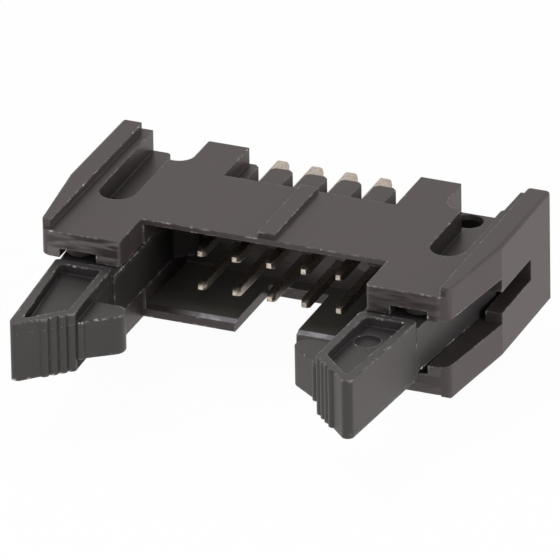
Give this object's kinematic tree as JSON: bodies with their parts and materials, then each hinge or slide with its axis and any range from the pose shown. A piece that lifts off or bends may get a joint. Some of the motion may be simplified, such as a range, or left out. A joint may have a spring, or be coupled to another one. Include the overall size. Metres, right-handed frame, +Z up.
{
  "type": "latched box header for flat cable",
  "caption": "Right-angle shrouded pin header for a flat-cable socket, with two swinging latch levers that lock and eject the socket.",
  "frame": {"origin": "on the board seating plane, midway between the two mounting holes", "axes": "+X along the row of contacts, +Y from the socket mouth to the solder tails, +Z up from the board"},
  "size_m": [0.0318, 0.0309, 0.0111],
  "materials": {
    "housing_plastic": "satin moulded glass-filled thermoplastic",
    "latch_plastic": "satin moulded glass-filled thermoplastic",
    "contact_metal": "plated wire, pale gold at the mating end and tin on the tails"
  },
  "bodies": {
    "housing_body": {"housing": "housing_plastic", "contact_upper_1": "contact_metal", "contact_upper_2": "contact_metal", "contact_upper_3": "contact_metal", "contact_upper_4": "contact_metal", "contact_upper_5": "contact_metal", "contact_lower_1": "contact_metal", "contact_lower_2": "contact_metal", "contact_lower_3": "contact_metal", "contact_lower_4": "contact_metal", "contact_lower_5": "contact_metal"},
    "latch_left_body": {"latch_left": "latch_plastic"},
    "latch_right_body": {"latch_right": "latch_plastic"}
  },
  "joints": [
    {"name": "latch_left_pivot", "type": "hinge", "parent": "housing_body", "child": "latch_left_body", "pos_m": [-0.0121, -0.007, 0.00415], "axis": [0, 0, -1], "range_deg": [0, 40]},
    {"name": "latch_right_pivot", "type": "hinge", "parent": "housing_body", "child": "latch_right_body", "pos_m": [0.0121, -0.007, 0.00415], "axis": [0, 0, 1], "range_deg": [0, 40]}
  ]
}
